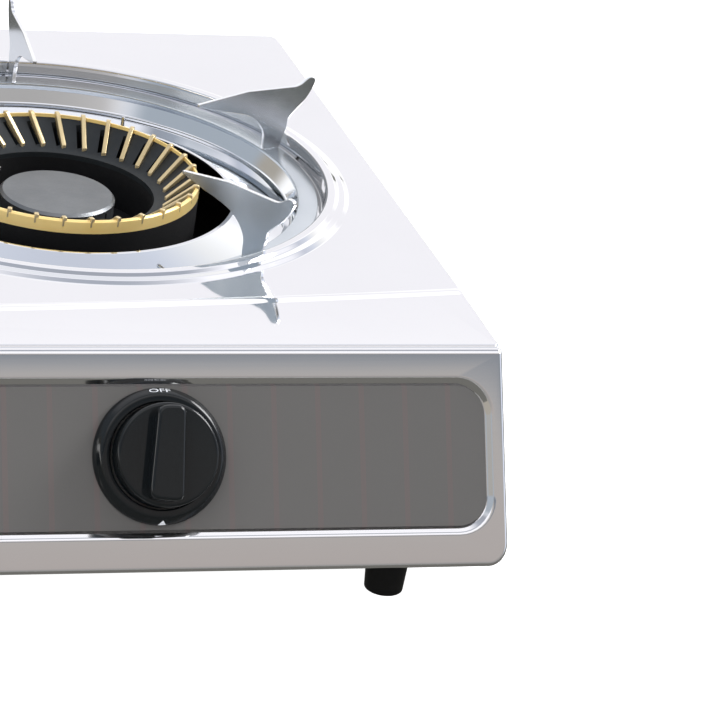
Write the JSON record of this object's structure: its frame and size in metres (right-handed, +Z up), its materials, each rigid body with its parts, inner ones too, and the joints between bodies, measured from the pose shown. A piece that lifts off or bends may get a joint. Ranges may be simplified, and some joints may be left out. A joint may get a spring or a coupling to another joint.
{
  "type": "three-burner gas stove",
  "caption": "Table-top gas stove with two large burners and a small one between them, slanted front panel with turn knobs, fin trivets and rubber feet.",
  "frame": {"origin": "on the table under the middle of the case, level with the undersides of the feet", "axes": "+X along the long side towards the right burner seen from the front, -Y towards the knobs, +Z up"},
  "size_m": [0.71, 0.4222, 0.1219],
  "materials": {
    "case_steel": "polished",
    "top_steel": "polished",
    "fascia_grey": "satin",
    "base_enamel": "satin",
    "foot_rubber": "matte",
    "screw_steel": "satin",
    "pipe_steel": "satin",
    "inlet_brass": "satin",
    "jet_brass": "satin",
    "pin_steel": "satin",
    "lead_rubber": "matte",
    "pan_chrome": "polished",
    "trivet_steel": "satin",
    "ring_brass": "satin",
    "head_iron": "cast",
    "bracket_steel": "satin",
    "tube_alloy": "cast",
    "shutter_steel": "satin",
    "electrode_ceramic": "gloss",
    "knob_black": "gloss",
    "bezel_black": "gloss",
    "stem_steel": "satin",
    "plug_brass": "satin",
    "tap_alloy": "cast",
    "cap_steel": "satin"
  },
  "bodies": {
    "case": {"body_shell": "case_steel", "top_plate": "top_steel", "fascia_plate": "fascia_grey", "base_plate": "base_enamel", "feet": "foot_rubber", "foot_screws": "screw_steel", "base_screws": "screw_steel", "manifold": "pipe_steel", "supply_pipe": "pipe_steel", "inlet_nozzle": "inlet_brass", "injectors": "jet_brass", "spark_pins": "pin_steel", "ignition_leads": "lead_rubber", "knob_bezel_left": "bezel_black", "tap_body_left": "tap_alloy", "burner_head_left": "head_iron", "burner_bracket_left": "bracket_steel", "mixing_tube_left": "tube_alloy", "spark_electrode_left": "electrode_ceramic", "knob_bezel_middle": "bezel_black", "tap_body_middle": "tap_alloy", "burner_head_middle": "head_iron", "burner_bracket_middle": "bracket_steel", "mixing_tube_middle": "tube_alloy", "spark_electrode_middle": "electrode_ceramic", "knob_bezel_right": "bezel_black", "tap_body_right": "tap_alloy", "burner_head_right": "head_iron", "burner_bracket_right": "bracket_steel", "mixing_tube_right": "tube_alloy", "spark_electrode_right": "electrode_ceramic"},
    "plug_left_body": {"tap_plug_left": "plug_brass"},
    "knob_left_body": {"knob_left": "knob_black", "valve_stem_left": "stem_steel"},
    "pan_left_body": {"drip_pan_left": "pan_chrome"},
    "trivet_left_body": {"trivet_ring_left": "trivet_steel", "trivet_fins_left": "trivet_steel"},
    "flame_ring_left_body": {"flame_ring_left": "ring_brass"},
    "shutter_left_body": {"air_shutter_left": "shutter_steel"},
    "cap_left_body": {"centre_cap_left": "cap_steel"},
    "plug_middle_body": {"tap_plug_middle": "plug_brass"},
    "knob_middle_body": {"knob_middle": "knob_black", "valve_stem_middle": "stem_steel"},
    "pan_middle_body": {"drip_pan_middle": "pan_chrome"},
    "trivet_middle_body": {"trivet_ring_middle": "trivet_steel", "trivet_fins_middle": "trivet_steel"},
    "flame_ring_middle_body": {"flame_ring_middle": "ring_brass"},
    "shutter_middle_body": {"air_shutter_middle": "shutter_steel"},
    "plug_right_body": {"tap_plug_right": "plug_brass"},
    "knob_right_body": {"knob_right": "knob_black", "valve_stem_right": "stem_steel"},
    "pan_right_body": {"drip_pan_right": "pan_chrome"},
    "trivet_right_body": {"trivet_ring_right": "trivet_steel", "trivet_fins_right": "trivet_steel"},
    "flame_ring_right_body": {"flame_ring_right": "ring_brass"},
    "shutter_right_body": {"air_shutter_right": "shutter_steel"},
    "cap_right_body": {"centre_cap_right": "cap_steel"}
  },
  "joints": [
    {"name": "turn_left", "type": "hinge", "parent": "case", "child": "plug_left_body", "pos_m": [-0.2108, -0.17221, 0.05552], "axis": [0, -0.8643, 0.503], "range_deg": [0, 90]},
    {"name": "push_left", "type": "slide", "parent": "plug_left_body", "child": "knob_left_body", "axis": [0, 0.8643, -0.503], "range_m": [0, 0.003], "stiffness_N_per_m": 900, "springref_m": -0.003},
    {"name": "lift_pan_left", "type": "slide", "parent": "case", "child": "pan_left_body", "axis": [0, 0, 1], "range_m": [0, 0.04]},
    {"name": "lift_trivet_left", "type": "slide", "parent": "pan_left_body", "child": "trivet_left_body", "axis": [0, 0, 1], "range_m": [0, 0.06]},
    {"name": "lift_ring_left", "type": "slide", "parent": "case", "child": "flame_ring_left_body", "axis": [0, 0, 1], "range_m": [0, 0.05]},
    {"name": "lift_cap_left", "type": "slide", "parent": "case", "child": "cap_left_body", "axis": [0, 0, 1], "range_m": [0, 0.04]},
    {"name": "air_left", "type": "hinge", "parent": "case", "child": "shutter_left_body", "pos_m": [-0.2128, -0.12121, 0.043], "axis": [0, 1, 0], "range_deg": [-30, 60]},
    {"name": "turn_middle", "type": "hinge", "parent": "case", "child": "plug_middle_body", "pos_m": [0, -0.17221, 0.05552], "axis": [0, -0.8643, 0.503], "range_deg": [0, 90]},
    {"name": "push_middle", "type": "slide", "parent": "plug_middle_body", "child": "knob_middle_body", "axis": [0, 0.8643, -0.503], "range_m": [0, 0.003], "stiffness_N_per_m": 900, "springref_m": -0.003},
    {"name": "lift_pan_middle", "type": "slide", "parent": "case", "child": "pan_middle_body", "axis": [0, 0, 1], "range_m": [0, 0.04]},
    {"name": "lift_trivet_middle", "type": "slide", "parent": "pan_middle_body", "child": "trivet_middle_body", "axis": [0, 0, 1], "range_m": [0, 0.06]},
    {"name": "lift_ring_middle", "type": "slide", "parent": "case", "child": "flame_ring_middle_body", "axis": [0, 0, 1], "range_m": [0, 0.05]},
    {"name": "air_middle", "type": "hinge", "parent": "case", "child": "shutter_middle_body", "pos_m": [0, -0.12121, 0.043], "axis": [0, 1, 0], "range_deg": [-30, 60]},
    {"name": "turn_right", "type": "hinge", "parent": "case", "child": "plug_right_body", "pos_m": [0.2108, -0.17221, 0.05552], "axis": [0, -0.8643, 0.503], "range_deg": [0, 90]},
    {"name": "push_right", "type": "slide", "parent": "plug_right_body", "child": "knob_right_body", "axis": [0, 0.8643, -0.503], "range_m": [0, 0.003], "stiffness_N_per_m": 900, "springref_m": -0.003},
    {"name": "lift_pan_right", "type": "slide", "parent": "case", "child": "pan_right_body", "axis": [0, 0, 1], "range_m": [0, 0.04]},
    {"name": "lift_trivet_right", "type": "slide", "parent": "pan_right_body", "child": "trivet_right_body", "axis": [0, 0, 1], "range_m": [0, 0.06]},
    {"name": "lift_ring_right", "type": "slide", "parent": "case", "child": "flame_ring_right_body", "axis": [0, 0, 1], "range_m": [0, 0.05]},
    {"name": "lift_cap_right", "type": "slide", "parent": "case", "child": "cap_right_body", "axis": [0, 0, 1], "range_m": [0, 0.04]},
    {"name": "air_right", "type": "hinge", "parent": "case", "child": "shutter_right_body", "pos_m": [0.2128, -0.12121, 0.043], "axis": [0, 1, 0], "range_deg": [-30, 60]}
  ]
}
